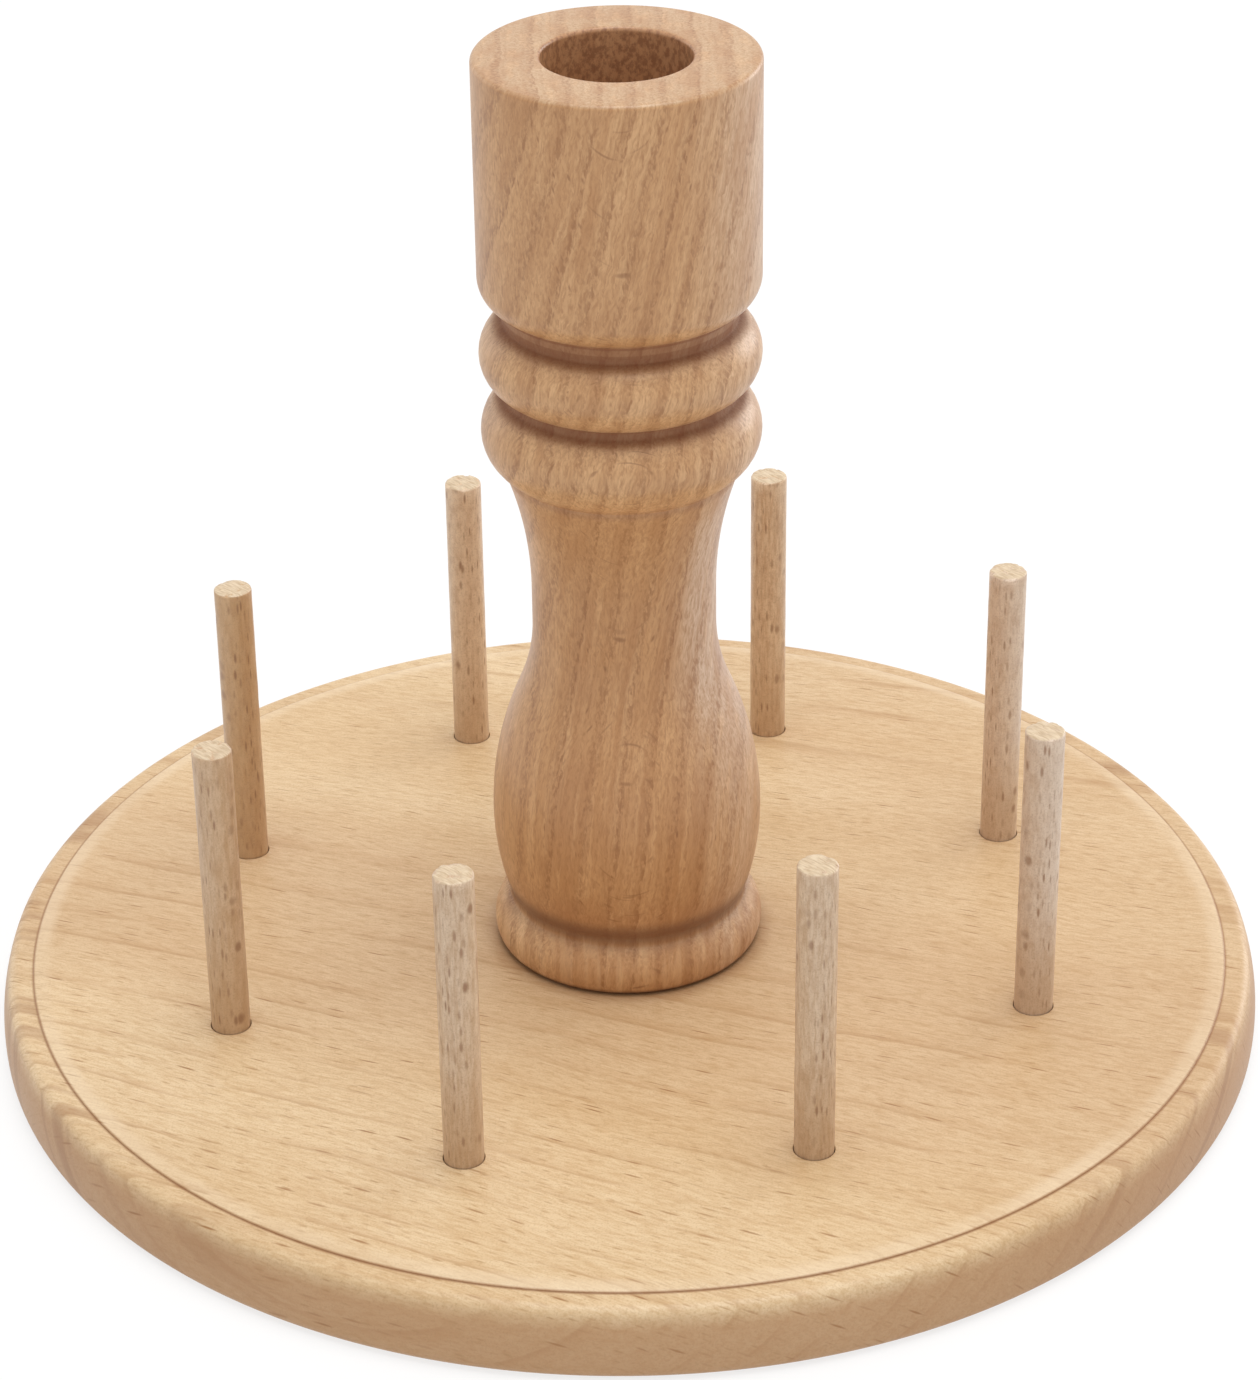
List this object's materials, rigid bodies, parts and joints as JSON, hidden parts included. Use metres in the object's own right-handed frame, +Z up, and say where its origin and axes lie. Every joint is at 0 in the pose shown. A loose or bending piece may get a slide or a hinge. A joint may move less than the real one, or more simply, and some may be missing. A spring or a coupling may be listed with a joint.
{
  "type": "thread rack",
  "caption": "Round wooden base with a ring of upright spool pegs and a turned central column with a socket in its top.",
  "frame": {"origin": "centre of the plate's underside, on the surface that the rack stands on", "axes": "+Z up along the column; -Y faces the viewer of the picture and +X is to the viewer's right, along the plate's grain"},
  "size_m": [0.2, 0.2, 0.159],
  "materials": {
    "plate_beech": "fine-sanded pale beech, long grain along X, satin",
    "column_beech": "turned beech, grain along Z, satin, burnished in the grooves",
    "peg_beech": "raw beech dowel with saw-cut ends",
    "screw_steel": "zinc-plated countersunk wood screw"
  },
  "bodies": {
    "rack": {"base_plate": "plate_beech", "column": "column_beech", "column_screw": "screw_steel"},
    "peg_1_body": {"peg_1": "peg_beech"},
    "peg_2_body": {"peg_2": "peg_beech"},
    "peg_3_body": {"peg_3": "peg_beech"},
    "peg_4_body": {"peg_4": "peg_beech"},
    "peg_5_body": {"peg_5": "peg_beech"},
    "peg_6_body": {"peg_6": "peg_beech"},
    "peg_7_body": {"peg_7": "peg_beech"},
    "peg_8_body": {"peg_8": "peg_beech"}
  },
  "joints": [
    {"name": "peg_1_lift", "type": "slide", "parent": "rack", "child": "peg_1_body", "axis": [0, 0, 1], "range_m": [0, 0.015]},
    {"name": "peg_2_lift", "type": "slide", "parent": "rack", "child": "peg_2_body", "axis": [0, 0, 1], "range_m": [0, 0.015]},
    {"name": "peg_3_lift", "type": "slide", "parent": "rack", "child": "peg_3_body", "axis": [0, 0, 1], "range_m": [0, 0.015]},
    {"name": "peg_4_lift", "type": "slide", "parent": "rack", "child": "peg_4_body", "axis": [0, 0, 1], "range_m": [0, 0.015]},
    {"name": "peg_5_lift", "type": "slide", "parent": "rack", "child": "peg_5_body", "axis": [0, 0, 1], "range_m": [0, 0.015]},
    {"name": "peg_6_lift", "type": "slide", "parent": "rack", "child": "peg_6_body", "axis": [0, 0, 1], "range_m": [0, 0.015]},
    {"name": "peg_7_lift", "type": "slide", "parent": "rack", "child": "peg_7_body", "axis": [0, 0, 1], "range_m": [0, 0.015]},
    {"name": "peg_8_lift", "type": "slide", "parent": "rack", "child": "peg_8_body", "axis": [0, 0, 1], "range_m": [0, 0.015]}
  ]
}
